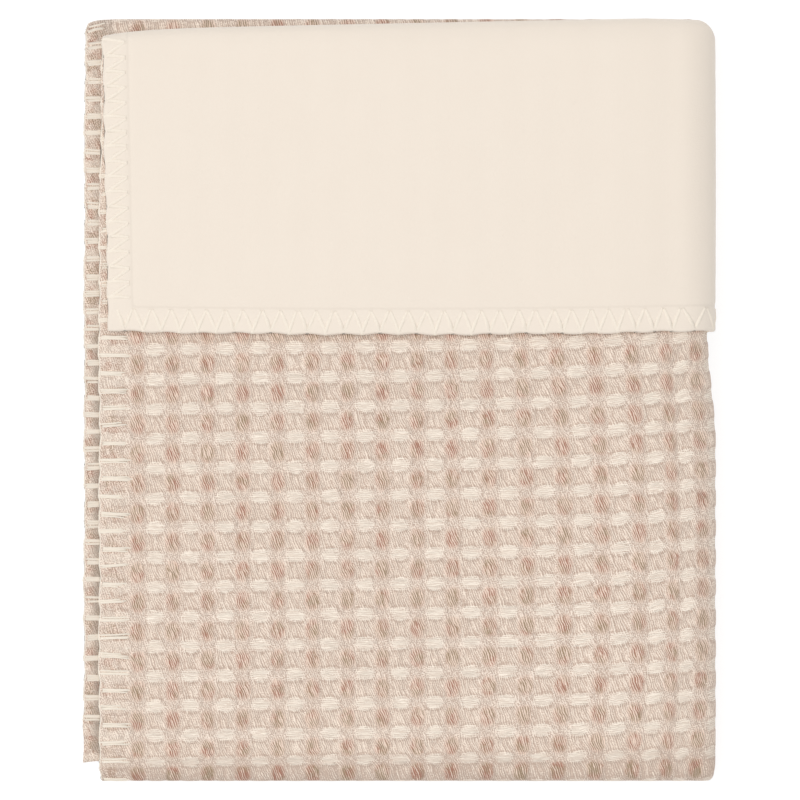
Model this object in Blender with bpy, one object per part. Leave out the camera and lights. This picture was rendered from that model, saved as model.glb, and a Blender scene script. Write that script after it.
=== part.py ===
"""Lined waffle weave cotton blanket, folded small and lying flat.

The blanket is two cloths laid together, a waffle weave face and a smooth brushed lining, folded as one.
Lengthwise, the bottom half goes under, its end is brought back up inside, and the top edge is turned down as a
flap that shows the lining. Across, the long strip is folded back and forth in thirds. fold_lengthwise gives
each point's place y and its height in the strip, and fold_across carries that section through the thirds.
+Z is up, +Y is the end with the turned-down flap, and the origin is under the middle of the stack.
"""

import bmesh
import bpy
import numpy as np

MM = 0.001

# The folded stack
FOLDED_WIDTH = 252.8 * MM
FOLDED_LENGTH = 305.4 * MM
CUT_WIDTH = 720.0 * MM  # hem to hem across the flat blanket

# The two cloths: their thickness, and the air that keeps one layer off the next
WAFFLE_THICKNESS = 2.0 * MM
LINING_THICKNESS = 0.8 * MM
CLOTH_GAP = 0.3 * MM
LAYER_GAP = 0.4 * MM
TURN_GAP = 0.25 * MM  # added round the folds between two thirds, so that the innermost layer can turn

CLOTH = WAFFLE_THICKNESS + CLOTH_GAP + LINING_THICKNESS
PITCH = CLOTH + LAYER_GAP
# Middle of each cloth, measured from the middle of the pair towards the waffle side
WAFFLE_OFFSET = (CLOTH - WAFFLE_THICKNESS) / 2
LINING_OFFSET = (LINING_THICKNESS - CLOTH) / 2

# Heights in the strip: the layer behind, the end brought back inside, the front layer and the flap
BACK, INNER, FRONT, FLAP = (PITCH * (layer - 0.5) for layer in (1, 2, 3, 4))
FULL_LAYERS = 3 * PITCH
WITH_FLAP = 4 * PITCH
SHARP_REACH = (PITCH + CLOTH) / 2  # how far a fold between neighbouring layers stands past its centre
WIDE_REACH = PITCH + CLOTH / 2  # the same for the bottom fold, which holds the inner layer's end

# Where the edges lie along the strip
TOP = FOLDED_LENGTH / 2
FLAP_HEM = 27.0 * MM
INNER_END = -144.1 * MM
SETTLE_LENGTH = 45.0 * MM  # below the flap's hem the stack sinks to three layers over this length

# x of the long hem on the left, from point to point down each layer, so that the layers show past each other
HEM_POINTS = {
    # height of the layer: (y, x), (y, x), ...
    FLAP: ((28.0 * MM, -116.4 * MM), (146.0 * MM, -118.9 * MM)),
    FRONT: ((-147.0 * MM, -120.8 * MM), (60.0 * MM, -120.6 * MM), (146.0 * MM, -118.9 * MM)),
    BACK: ((-147.0 * MM, -120.8 * MM), (148.0 * MM, -126.0 * MM)),
    INNER: ((-144.0 * MM, -FOLDED_WIDTH / 2), (148.0 * MM, -126.0 * MM)),
}

# The flap's top fold slants up to the right, and dips at its left corner
TOP_SLOPE = 0.0205
TOP_PEAK_X = 98.0 * MM
TOP_LEFT_X = -118.9 * MM
LEFT_DIP = 2.6 * MM
LEFT_DIP_LENGTH = 14.0 * MM
INNER_DIP = 1.9 * MM
INNER_DIP_LENGTH = 3.0 * MM
TOP_CORNER_RADIUS = 5.4 * MM
BOTTOM_CORNER_RADIUS = 4.0 * MM
HEM_BOW = 0.9 * MM  # the flap's hem hangs this much lower in its middle
THIRD_DROP = 0.8 * MM  # each hidden third stays this much short of the one above it

# The fold on the left, between the middle and the back third
LEFT_FOLD_X = -120.2 * MM
LEFT_FOLD_WANDER = 0.8 * MM
WANDER_LENGTH = 55.0 * MM

# Steps of the sheet across, in order from the hem on top to the hem below, and along each kind of stretch
FRONT_THIRD, RIGHT_FOLD, MIDDLE_THIRD, LEFT_FOLD, BACK_THIRD = range(5)
ACROSS_STEPS = (6, 8, 3, 8, 3)
SHARP_STEPS = 6
WIDE_STEPS = 8
SETTLE_STEPS = 5
SHARP_EDGE = np.radians(50.0)  # between two faces that are shaded apart


def smoothstep(t):
    t = np.clip(t, 0.0, 1.0)
    return t * t * (3.0 - 2.0 * t)


def quarter_round(distance, radius):
    """How far a rounded corner has dropped, at a distance past the start of its rounding."""
    inside = np.clip(distance, 0.0, radius)
    return radius - np.sqrt(radius**2 - inside**2)


def columns():
    """Each column's stretch across the sheet, its share of that stretch, its x from above, and its third."""
    stretch = [FRONT_THIRD]
    share = [0.0]
    for number, steps in enumerate(ACROSS_STEPS):
        shares = np.arange(1, steps + 1) / steps
        if number == FRONT_THIRD:
            shares = shares**2  # finer near the hem, where the corner dips
        stretch += [number] * steps
        share += list(shares)
    stretch = np.array(stretch)
    share = np.array(share)
    turn = WITH_FLAP + TURN_GAP
    fold_start = FOLDED_WIDTH / 2 - turn
    x = fold_start + turn * np.sin(np.pi * share) * (stretch == RIGHT_FOLD)
    x = np.where(stretch == FRONT_THIRD, TOP_LEFT_X + share * (fold_start - TOP_LEFT_X), x)
    below = [stretch == MIDDLE_THIRD, stretch == LEFT_FOLD, stretch == BACK_THIRD]
    steps_down = np.select(below, [share, 1.0, 1.0 + share])
    return stretch, share, x, steps_down


def fold_lines(x, steps_down):
    """How far each fold and end reaches along the strip, for every column."""
    from_left = x - TOP_LEFT_X
    from_right = x - FOLDED_WIDTH / 2
    drop = THIRD_DROP * steps_down
    flap_fold = TOP - TOP_SLOPE * np.abs(TOP_PEAK_X - x) - LEFT_DIP * np.exp(-from_left / LEFT_DIP_LENGTH)
    flap_fold = flap_fold - quarter_round(from_right + TOP_CORNER_RADIUS, TOP_CORNER_RADIUS) - drop
    inner_fold = TOP - INNER_DIP * np.exp(-from_left / INNER_DIP_LENGTH) - drop
    bottom_fold = -TOP + quarter_round(from_right + BOTTOM_CORNER_RADIUS, BOTTOM_CORNER_RADIUS) + drop
    flap_hem = FLAP_HEM + HEM_BOW * (x / TOP_PEAK_X) ** 2
    inner_end = INNER_END + drop
    return flap_fold, inner_fold, bottom_fold, flap_hem, inner_end


def layer(start, stop, lines, height, offset):
    """Rows of one flat layer: its two ends, and between them the lines that all its neighbours share."""
    rows = [start] + [np.full_like(start, line) for line in lines] + [stop]
    return [(row, np.full_like(row, height + offset), height) for row in rows]


def half_turn(centre, height, radius, steps, side, next_layer):
    """Rows of a fold, without its two ends: radius is positive where it goes down, side is +1 towards +Y."""
    angles = np.pi * np.arange(1, steps) / steps
    bulge = side * abs(radius)
    return [
        (centre + bulge * np.sin(angle), np.full_like(centre, height + radius * np.cos(angle)), next_layer)
        for angle in angles
    ]


def fold_lengthwise(offset, x, steps_down):
    """y, height and x of the left hem for each row and column of a cloth lying offset to the waffle side."""
    flap_fold, inner_fold, bottom_fold, flap_hem, inner_end = fold_lines(x, steps_down)
    flap_centre = flap_fold - SHARP_REACH
    inner_centre = inner_fold - SHARP_REACH
    bottom_centre = bottom_fold + WIDE_REACH
    settle = FLAP_HEM - SETTLE_LENGTH * np.arange(SETTLE_STEPS + 1) / SETTLE_STEPS
    down = [FLAP_HEM + SETTLE_LENGTH, *settle, settle[-1] - 1.5 * SETTLE_LENGTH]
    up = down[::-1]
    sharp = PITCH / 2
    rows = layer(flap_hem, flap_centre, down[:1], FLAP, -offset)
    rows += half_turn(flap_centre, 3 * PITCH, sharp - offset, SHARP_STEPS, 1, FRONT)
    rows += layer(flap_centre, bottom_centre, down, FRONT, offset)
    rows += half_turn(bottom_centre, INNER, PITCH + offset, WIDE_STEPS, -1, BACK)
    rows += layer(bottom_centre, inner_centre, up, BACK, -offset)
    rows += half_turn(inner_centre, PITCH, -sharp - offset, SHARP_STEPS, 1, INNER)
    rows += layer(inner_centre, inner_end, down, INNER, offset)
    y = np.array([row[0] for row in rows])
    height = np.array([row[1] for row in rows])
    hem_x = [np.interp(row[0][0], *zip(*HEM_POINTS[row[2]])) for row in rows]
    return y, height, np.array(hem_x)[:, None]


def fold_across(stretch, share, y, height, hem_x):
    """x and z of the sheet: each third lies on the next, and the section turns over at each fold between."""
    settled = smoothstep((FLAP_HEM - y) / SETTLE_LENGTH)
    third = WITH_FLAP + (FULL_LAYERS - WITH_FLAP) * settled
    turn = third + TURN_GAP
    right = FOLDED_WIDTH / 2 + LAYER_GAP / 2 - turn
    left = LEFT_FOLD_X + LEFT_FOLD_WANDER * np.sin(y / WANDER_LENGTH) ** 2 + turn
    left_over = CUT_WIDTH - (right - hem_x) - (right - left) - np.pi * (turn + TURN_GAP)
    angle = np.pi * share
    outer = height + TURN_GAP
    inner = turn - height
    places = (
        # x and z in each stretch, in order across the sheet
        (hem_x + share * (right - hem_x), 2 * turn + 2 * TURN_GAP + height),
        (right + outer * np.sin(angle), 2 * turn + TURN_GAP + outer * np.cos(angle)),
        (right + share * (left - right), 2 * turn - height),
        (left - inner * np.sin(angle), turn + inner * np.cos(angle)),
        (left + share * left_over, height),
    )
    is_stretch = [np.broadcast_to(stretch == number, y.shape) for number in range(len(places))]
    x = np.select(is_stretch, [place[0] for place in places])
    z = np.select(is_stretch, [place[1] for place in places])
    return x, z - LAYER_GAP / 2


def folded_places(offset):
    """The folded place of every row and column of the sheet, for a surface offset to the waffle side."""
    stretch, share, x_above, steps_down = columns()
    y, height, hem_x = fold_lengthwise(offset, x_above, steps_down)
    x, z = fold_across(stretch, share, y, height, hem_x)
    return np.stack([x, y, z], axis=-1)


def folded_face(cloth, offset):
    """Adds one face of a cloth: a flat grid whose points are carried to their folded places."""
    places = folded_places(offset)
    row_count, column_count = places.shape[:2]
    grid = bmesh.ops.create_grid(cloth, x_segments=column_count - 1, y_segments=row_count - 1, size=1.0)
    for vert, place in zip(grid["verts"], places.reshape(-1, 3)):
        vert.co = place
    faces = list({face for vert in grid["verts"] for face in vert.link_faces})
    bmesh.ops.triangulate(cloth, faces=faces, quad_method="FIXED")


def folded_cloth(name, offset, thickness, material, collection):
    """One cloth as a closed solid: its two faces, and the cut edge that joins them all round."""
    cloth = bmesh.new()
    for face_offset in (offset + thickness / 2, offset - thickness / 2):
        folded_face(cloth, face_offset)
    rim = [edge for edge in cloth.edges if edge.is_boundary]
    bmesh.ops.bridge_loops(cloth, edges=rim)
    bmesh.ops.recalc_face_normals(cloth, faces=cloth.faces)
    mesh = bpy.data.meshes.new(name)
    cloth.to_mesh(mesh)
    cloth.free()
    mesh.materials.append(material)
    mesh.shade_smooth()
    mesh.set_sharp_from_angle(angle=SHARP_EDGE)
    piece = bpy.data.objects.new(name, mesh)
    collection.objects.link(piece)
    return piece


def fabric(name, colour, roughness):
    material = bpy.data.materials.new(name)
    material.use_nodes = True
    shader = material.node_tree.nodes["Principled BSDF"]
    shader.inputs["Base Color"].default_value = (*colour, 1.0)
    shader.inputs["Roughness"].default_value = roughness
    shader.inputs["Metallic"].default_value = 0.0
    return material


def main():
    for old in list(bpy.data.objects):
        bpy.data.objects.remove(old, do_unlink=True)
    blanket = bpy.data.collections.new("waffle_weave_blanket")
    bpy.context.scene.collection.children.link(blanket)
    waffle = fabric("waffle_cotton", (0.76, 0.62, 0.53), 0.95)
    flannel = fabric("brushed_cotton", (0.88, 0.81, 0.72), 0.9)
    folded_cloth("waffle_face", WAFFLE_OFFSET, WAFFLE_THICKNESS, waffle, blanket)
    folded_cloth("flannel_lining", LINING_OFFSET, LINING_THICKNESS, flannel, blanket)


main()
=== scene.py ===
"""Waffle weave cotton blanket with a brushed lining, folded small: its cloth, sewing and studio.

The blanket is worked out flat and then folded. A point of the flat cloth is u, the distance from the long hem
that lies on top at the left, and v, the distance along the strip, counted from one row of the weave on the
front. column and row count the stretches of the fold across and along the strip, and offset is the distance
from the middle of the two cloths towards the waffle side.
"""

from functools import partial

import bpy
import numpy as np
from bpy.props import FloatProperty, FloatVectorProperty, PointerProperty
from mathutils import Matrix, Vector


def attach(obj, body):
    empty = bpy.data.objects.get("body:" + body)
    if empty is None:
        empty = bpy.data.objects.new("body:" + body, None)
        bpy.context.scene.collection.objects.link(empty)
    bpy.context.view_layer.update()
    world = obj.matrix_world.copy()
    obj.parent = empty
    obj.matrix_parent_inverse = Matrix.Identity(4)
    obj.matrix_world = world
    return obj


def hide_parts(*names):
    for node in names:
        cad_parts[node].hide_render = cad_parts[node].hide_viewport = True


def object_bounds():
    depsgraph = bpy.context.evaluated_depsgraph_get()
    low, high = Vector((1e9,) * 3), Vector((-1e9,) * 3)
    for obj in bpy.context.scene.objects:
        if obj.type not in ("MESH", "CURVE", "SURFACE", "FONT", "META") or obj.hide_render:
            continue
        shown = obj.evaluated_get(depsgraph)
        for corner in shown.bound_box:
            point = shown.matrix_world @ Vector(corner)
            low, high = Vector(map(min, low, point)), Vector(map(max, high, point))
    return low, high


bl_info = {
    "name": "Folded waffle weave blanket",
    "version": (1, 0, 0),
    "blender": (4, 5, 0),
    "location": "View3D > Sidebar > Blanket",
    "description": "Weaves, lines, sews and folds a waffle weave cotton blanket",
    "category": "Object",
}

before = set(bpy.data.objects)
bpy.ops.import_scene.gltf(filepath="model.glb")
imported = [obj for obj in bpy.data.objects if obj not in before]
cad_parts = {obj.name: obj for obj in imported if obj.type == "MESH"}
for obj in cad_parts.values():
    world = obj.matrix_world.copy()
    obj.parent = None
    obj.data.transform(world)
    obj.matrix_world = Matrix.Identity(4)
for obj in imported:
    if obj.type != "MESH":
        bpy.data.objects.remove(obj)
CAD_LOW, CAD_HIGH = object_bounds()

MM = 0.001

# The folded stack, as the solids have it
FOLDED_WIDTH = CAD_HIGH.x - CAD_LOW.x
TOP = (CAD_HIGH.y - CAD_LOW.y) / 2
CUT_WIDTH = 720.0 * MM
CLOTH = 3.1 * MM  # both cloths and the air between them
LAYER_GAP = 0.4 * MM
TURN_GAP = 0.25 * MM
PITCH = CLOTH + LAYER_GAP
BACK, INNER, FRONT, FLAP = (PITCH * (layer - 0.5) for layer in (1, 2, 3, 4))
FULL_LAYERS = 3 * PITCH
WITH_FLAP = 4 * PITCH
SHARP = PITCH / 2
SHARP_REACH = (PITCH + CLOTH) / 2
WIDE_REACH = PITCH + CLOTH / 2
FACE = CLOTH / 2  # offset of either outer face

FLAP_HEM = 27.1 * MM
INNER_END = -144.1 * MM
SETTLE_LENGTH = 45.0 * MM
# y and x of the long hem of the flap, the front, the back and the inner layer, from point to point
HEM_POINTS = (
    ((28.0 * MM, 146.0 * MM), (-115.5 * MM, -118.0 * MM)),
    ((-147.0 * MM, 60.0 * MM, 146.0 * MM), (-119.6 * MM, -119.4 * MM, -118.0 * MM)),
    ((-147.0 * MM, 148.0 * MM), (-119.6 * MM, -125.1 * MM)),
    ((-144.0 * MM, 148.0 * MM), (-125.8 * MM, -125.1 * MM)),
)
HEM_OF_STRETCH = (0, 1, 1, 2, 2, 3, 3)  # which of them each stretch along the strip follows
TOP_SLOPE = 0.0205
TOP_PEAK_X = 98.0 * MM
TOP_LEFT_X = -118.9 * MM
LEFT_DIP = 2.6 * MM
LEFT_DIP_LENGTH = 14.0 * MM
INNER_DIP = 1.9 * MM
INNER_DIP_LENGTH = 3.0 * MM
INNER_DIP_SHARE = 0.04  # of the inner layer's length, over which the dip fades
TOP_CORNER_RADIUS = 5.4 * MM
BOTTOM_CORNER_RADIUS = 2.2 * MM
HEM_BOW = 0.9 * MM
THIRD_DROP = 0.8 * MM
LEFT_FOLD_X = -120.2 * MM
LEFT_FOLD_WANDER = 0.8 * MM
WANDER_LENGTH = 55.0 * MM

# Stretches along the strip, then across it
FLAP_RUN, FLAP_FOLD, FRONT_RUN, BOTTOM_FOLD, BACK_RUN, INNER_FOLD, INNER_RUN, STRIP_END = range(8)
FRONT_THIRD, RIGHT_FOLD, MIDDLE_THIRD, LEFT_FOLD, BACK_THIRD, FAR_HEM = range(6)
SLIP_START = 2.85  # past this column the hidden layers slip over each other towards the left fold

# Where the weave lies in the cloth
U_ORIGIN = 120.8 * MM  # u is x plus this on the front third
V_ORIGIN = -67.5 * MM  # v is this minus y on the front


def smoothstep(t):
    """Eases from 0 to 1 as t goes from 0 to 1."""
    t = np.clip(t, 0.0, 1.0)
    return t * t * (3.0 - 2.0 * t)


def quarter_round(distance, radius):
    """How far a rounded corner has dropped, at a distance past the start of its rounding."""
    inside = np.clip(distance, 0.0, radius)
    return radius - np.sqrt(radius**2 - inside**2)


def through(value, marks, results):
    """A line straight from mark to mark, each giving its result: the sum of its stretches' shares."""
    total = results[0]
    last = len(marks) - 2
    for number in range(last + 1):
        share = (value - marks[number]) / (marks[number + 1] - marks[number])
        share = np.clip(share, -np.inf if number == 0 else 0.0, np.inf if number == last else 1.0)
        total = total + (results[number + 1] - results[number]) * share
    return total


# ---- the fold


def seen_from_above(column):
    """x of a column seen from above, and how many thirds it lies under the top one."""
    turn = WITH_FLAP + TURN_GAP
    fold_start = FOLDED_WIDTH / 2 - turn
    x = TOP_LEFT_X + np.clip(column, -1.0, 1.0) * (fold_start - TOP_LEFT_X)
    x = x + turn * np.sin(np.pi * np.clip(column - RIGHT_FOLD, 0.0, 1.0))
    steps_down = np.clip(column - MIDDLE_THIRD, 0.0, 1.0) + np.clip(column - BACK_THIRD, 0.0, 1.0)
    return x, steps_down


def fold_places(column, inner_dip=INNER_DIP):
    """y of the two ends of the strip and of its three folds' middles, under a column."""
    x, steps_down = seen_from_above(column)
    from_left = np.maximum(x - TOP_LEFT_X, -LEFT_DIP)
    from_right = x - FOLDED_WIDTH / 2
    drop = THIRD_DROP * steps_down
    flap_fold = TOP - TOP_SLOPE * np.abs(TOP_PEAK_X - x) - LEFT_DIP * np.exp(-from_left / LEFT_DIP_LENGTH)
    flap_fold = flap_fold - quarter_round(from_right + TOP_CORNER_RADIUS, TOP_CORNER_RADIUS) - drop
    inner_fold = TOP - inner_dip * np.exp(-from_left / INNER_DIP_LENGTH) - drop
    corner = quarter_round(from_right + BOTTOM_CORNER_RADIUS, BOTTOM_CORNER_RADIUS)
    bottom_fold = -TOP + corner + drop
    flap_hem = FLAP_HEM + HEM_BOW * (x / TOP_PEAK_X) ** 2
    inner_end = INNER_END + drop
    return flap_hem, flap_fold - SHARP_REACH, bottom_fold + WIDE_REACH, inner_fold - SHARP_REACH, inner_end


def strip_marks(column):
    """v at the start of each stretch along the strip, and at its end: runs and half turns laid end to end."""
    flap_hem, flap_centre, bottom_centre, inner_centre, inner_end = fold_places(column, 0.0)
    front_start = V_ORIGIN - flap_centre
    flap_end = front_start - np.pi * SHARP
    bottom_start = V_ORIGIN - bottom_centre
    back_start = bottom_start + np.pi * PITCH
    inner_start = back_start + inner_centre - bottom_centre
    run_start = inner_start + np.pi * SHARP
    flap_start = flap_end - (flap_centre - flap_hem)
    marks = (flap_start, flap_end, front_start, bottom_start, back_start, inner_start)
    return (*marks, run_start, run_start + inner_centre - inner_end)


def fold_along(column, row, offset):
    """y and height in the strip: straight runs, and half circles that grow or shrink with the offset."""
    flap_hem, flap_centre, bottom_centre, inner_centre, inner_end = fold_places(column)
    level_centre = fold_places(column, 0.0)[3]
    stretch = np.clip(np.floor(row), FLAP_RUN, INNER_RUN).astype(int)
    share = row - stretch
    out = np.sin(np.pi * share)
    up = np.cos(np.pi * share)
    dip = (inner_centre - level_centre) * np.exp(-share / INNER_DIP_SHARE)
    places = (
        # y and height in each stretch, in order along the strip
        (flap_hem + share * (flap_centre - flap_hem), FLAP - offset),
        (flap_centre + (SHARP - offset) * out, 3 * PITCH + (SHARP - offset) * up),
        (flap_centre + share * (bottom_centre - flap_centre), FRONT + offset),
        (bottom_centre - (PITCH + offset) * out, INNER + (PITCH + offset) * up),
        (bottom_centre + share * (inner_centre - bottom_centre), BACK - offset),
        (inner_centre + (SHARP + offset) * out, PITCH - (SHARP + offset) * up),
        (level_centre + share * (inner_end - level_centre) + dip, INNER + offset),
    )
    stretch = np.broadcast_arrays(stretch, flap_centre, offset)[0]
    cases = [stretch == number for number in range(len(places))]
    y, height = (np.select(cases, results) for results in zip(*places))
    hems = [np.interp(y, *HEM_POINTS[hem]) for hem in HEM_OF_STRETCH]
    return y, height, np.select(cases, hems)


def third_sizes(y, hem_x):
    """Thickness of a third with its gap, x of the middles of the right and left folds, and the width left for
    the third at the back."""
    settled = smoothstep((FLAP_HEM - y) / SETTLE_LENGTH)
    turn = WITH_FLAP + (FULL_LAYERS - WITH_FLAP) * settled + TURN_GAP
    right = FOLDED_WIDTH / 2 + LAYER_GAP / 2 - turn
    left = LEFT_FOLD_X + LEFT_FOLD_WANDER * np.sin(y / WANDER_LENGTH) ** 2 + turn
    left_over = CUT_WIDTH - (right - hem_x) - (right - left) - np.pi * (turn + TURN_GAP)
    return turn, right, left, left_over


def across_marks(y, height, hem_x):
    """u and column at each change across the strip. The layers slip unseen, before the left fold."""
    turn, right, left, left_over = third_sizes(y, hem_x)
    end = hem_x + U_ORIGIN + CUT_WIDTH
    middle_start = right + U_ORIGIN + np.pi * (FRONT + TURN_GAP)
    slip_start = middle_start + (SLIP_START - MIDDLE_THIRD) * (right - left)
    back_start = end - left_over
    left_start = back_start - np.pi * (turn - height)
    marks = (hem_x + U_ORIGIN, right + U_ORIGIN, middle_start, slip_start, left_start, back_start, end)
    return marks, (FRONT_THIRD, RIGHT_FOLD, MIDDLE_THIRD, SLIP_START, LEFT_FOLD, BACK_THIRD, FAR_HEM)


def fold_across(column, y, height, hem_x):
    """x and z: each third lies on the next, and the strip's section turns over at the fold between two."""
    turn, right, left, left_over = third_sizes(y, hem_x)
    stretch = np.clip(np.floor(column), FRONT_THIRD, BACK_THIRD).astype(int)
    share = column - stretch
    out = np.sin(np.pi * share)
    up = np.cos(np.pi * share)
    outer = height + TURN_GAP
    inner = turn - height
    places = (
        # x and z in each stretch, in order across the strip
        (hem_x + share * (right - hem_x), 2 * turn + 2 * TURN_GAP + height),
        (right + outer * out, 2 * turn + TURN_GAP + outer * up),
        (right + share * (left - right), 2 * turn - height),
        (left - inner * out, turn + inner * up),
        (left + share * left_over, height),
    )
    cases = [np.broadcast_to(stretch == number, y.shape) for number in range(len(places))]
    x, z = (np.select(cases, results) for results in zip(*places))
    return x, z - LAYER_GAP / 2


# The stack sinks a little towards its folds and is nowhere quite flat
SAG_START_X = 86.0 * MM
SAG_LENGTH = 40.0 * MM
SAG_SHARE = 0.062
END_SAG_LENGTH = 26.0 * MM
END_SAG_SHARE = 0.035
END_ROLL_LENGTH = 12.0 * MM
END_ROLL_SHARE = 0.12
SWELL = 0.45 * MM
SWELL_LENGTHS = (47 * MM, 61 * MM, 43 * MM)  # across, along and aslant, each for one radian of its wave
CORNER_FILL = 3.0 * MM  # how far a corner where two folds meet stands out, so that it is nearly square


def settle(x, y, z):
    """Lowers the points towards the right fold and the two ends, each in proportion to its own height."""
    right = smoothstep((x - SAG_START_X) / SAG_LENGTH)
    ends = smoothstep((np.abs(y) - TOP + END_SAG_LENGTH) / END_SAG_LENGTH)
    roll = np.clip((np.abs(y) - TOP + END_ROLL_LENGTH) / END_ROLL_LENGTH, 0.0, 1.0) ** 2
    across, along, aslant = SWELL_LENGTHS
    swell = np.sin(x / across + 0.7) * np.sin(y / along + 0.4) + 0.5 * np.sin((x + 2 * y) / aslant)
    full = z / CAD_HIGH.z
    lowered = z * (1 - SAG_SHARE * right) * (1 - END_SAG_SHARE * ends) * (1 - END_ROLL_SHARE * roll)
    return lowered + SWELL * full * (swell - 1.0) / 1.5


def folded(column, row, offset):
    """The folded place of points of the cloth, and their flat place u and v."""
    column, row, offset = np.broadcast_arrays(column, row, offset)
    y, height, hem_x = fold_along(column, row, offset)
    x, z = fold_across(column, y, height, hem_x)
    at_end = np.sin(np.pi * np.clip(row - BOTTOM_FOLD, 0.0, 1.0)) ** 3
    x = x + CORNER_FILL * at_end * np.sin(np.pi * np.clip(column - RIGHT_FOLD, 0.0, 1.0))
    marks, counts = across_marks(*fold_along(column, row, np.zeros_like(offset)))
    u = through(column, counts, marks)
    v = through(row, range(STRIP_END + 1), strip_marks(column))
    return np.stack([x, y, settle(x, y, z)], axis=-1), u, v


# ---- the weave

ROW_PITCH = 11.88 * MM
# u of the coloured ribs, 14 mm apart, which spread a little towards the right fold and close up at it
RIB_MARKS = (-560 * MM, 15.9 * MM, 141.8 * MM, 216.8 * MM, 230.4 * MM, 241.5 * MM, 941.5 * MM)
RIB_COUNTS = (-40, 0, 9, 14, 15, 16, 66)
# v of the coloured rows, which close up at the bottom fold and lie a little wider apart under the front
ROW_MARKS = (-100 * ROW_PITCH, 6 * ROW_PITCH, 80.8 * MM, 360 * MM, 360 * MM + 100 * ROW_PITCH)
ROW_COUNTS = (-100, 6, 7, 30.14, 130.14)
BOW = 3.2 * MM
BOW_LENGTH = 83.0 * MM
TILT = 0.03  # how far the ends of the last pale floats rise and fall, in rows
# The ribs in cross section: how far their foot is from the middle of a coloured rib or a pit, and their slope
RIB_FOOT = 0.36
RIB_SLOPE = 0.26
PALE_FOOT = 0.2
PALE_SLOPE = 0.16
PALE_BULGE = 0.06  # how much further it stands out in the middle of a float


def weave_place(u, v):
    """Counts of ribs and rows at a flat place. Rows rise towards the right, and the last ribs bow."""
    across = np.clip((u - U_ORIGIN) / (FOLDED_WIDTH / 2), -1.0, 1.0)
    rise = MM * (2.0 * across + 1.2 * across**2 + 1.2 * across**3)
    level = 0.28 * smoothstep((v - 10 * MM) / (30 * MM)) + 0.3 * smoothstep((v - 68 * MM) / (12 * MM))
    rise = rise * (1.0 - level * (across > 0))
    bow = BOW * smoothstep((u - 125 * MM) / (60 * MM)) * np.clip(v / BOW_LENGTH, -1.0, 1.0) ** 2
    rib = through(u + bow, RIB_MARKS, RIB_COUNTS)
    tilt = TILT * smoothstep((u - 150 * MM) / (70 * MM)) * smoothstep((260 * MM - u) / (20 * MM))
    return rib, through(v + rise, ROW_MARKS, ROW_COUNTS) - tilt * np.sin(2 * np.pi * rib)


def cell_chance(rib, row):
    """A number from 0 to 1 for each cell, always the same one: the fraction of a large sine."""
    value = np.sin(rib * 127.1 + row * 311.7 + 74.7) * 43758.5453
    return value - np.floor(value)


def waffle_relief(rib, row, depth):
    """Height under the crests: two crossing sets of rounded ribs, each highest where its threads float, and
    the pale ones widest there too."""
    away_rib = np.abs(rib - np.round(rib))  # 0 on a coloured rib, 0.5 in a pit
    away_row = np.abs(row - np.round(row))  # 0 in a pit, 0.5 on a pale rib
    warp = smoothstep((RIB_FOOT - away_rib) / RIB_SLOPE)
    weft = smoothstep((away_row - PALE_FOOT - PALE_BULGE * np.cos(2 * np.pi * rib)) / PALE_SLOPE)
    warp_crest = 0.62 + 0.38 * np.cos(np.pi * row) ** 2
    weft_crest = 0.55 + 0.45 * np.sin(np.pi * rib) ** 2
    uneven = 0.9 + 0.1 * cell_chance(np.round(rib), np.round(row))
    height = np.maximum(warp * warp_crest, weft * weft_crest) * uneven
    return depth * (height - 1.0)


# ---- helpers


def linear(hex_colour):
    """Turns an sRGB hex value into linear red, green and blue, and a full alpha."""
    channels = [int(hex_colour[start : start + 2], 16) / 255 for start in (0, 2, 4)]
    return (*(c / 12.92 if c <= 0.04045 else ((c + 0.055) / 1.055) ** 2.4 for c in channels), 1.0)


def add_node(tree, kind, inputs=(), output=0, **settings):
    """Adds a node with its settings, fills or links its inputs, given by name or in order, and returns one of
    its outputs, if any. The name of its operation, where it has one, stands behind its kind."""
    kind, _, operation = kind.partition(" ")
    node = tree.nodes.new("ShaderNode" + kind)
    if operation:
        node.operation = operation
    for name, value in settings.items():
        setattr(node, name, value)
    for key, value in inputs.items() if isinstance(inputs, dict) else enumerate(inputs):
        if isinstance(value, bpy.types.NodeSocket):
            tree.links.new(value, node.inputs[key])
        else:
            node.inputs[key].default_value = value
    return node.outputs[output] if node.outputs else None


def bare_tree(block):
    """Empties the nodes of a new material or world, and returns the function that adds nodes to it."""
    block.use_nodes = True
    block.node_tree.nodes.clear()
    return partial(add_node, block.node_tree)


def grid_faces(rows, columns, outward_first):
    """Corner numbers of a grid's quads, turned so that they face the side the caller wants."""
    index = np.arange(rows * columns).reshape(rows, columns)
    corners = [index[:-1, :-1], index[1:, :-1], index[1:, 1:], index[:-1, 1:]]
    if not outward_first:
        corners.reverse()
    return np.stack(corners, axis=-1).reshape(-1, 4)


def mesh_piece(name, points, faces, maps, material):
    """A smooth-shaded object from arrays of points, quads and named UV maps with one place for each point."""
    mesh = bpy.data.meshes.new(name)
    mesh.vertices.add(len(points))
    mesh.vertices.foreach_set("co", points.astype(np.float32).ravel())
    mesh.loops.add(faces.size)
    mesh.loops.foreach_set("vertex_index", faces.astype(np.int32).ravel())
    mesh.polygons.add(len(faces))
    mesh.polygons.foreach_set("loop_start", np.arange(0, faces.size, faces.shape[1], dtype=np.int32))
    for map_name, places in maps.items():
        layer = mesh.uv_layers.new(name=map_name)
        layer.uv.foreach_set("vector", places[faces.ravel()].astype(np.float32).ravel())
    mesh.update(calc_edges=True)
    mesh.validate()
    mesh.shade_smooth()
    mesh.materials.append(material)
    piece = bpy.data.objects.new(name, mesh)
    bpy.context.scene.collection.objects.link(piece)
    return piece


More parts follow.
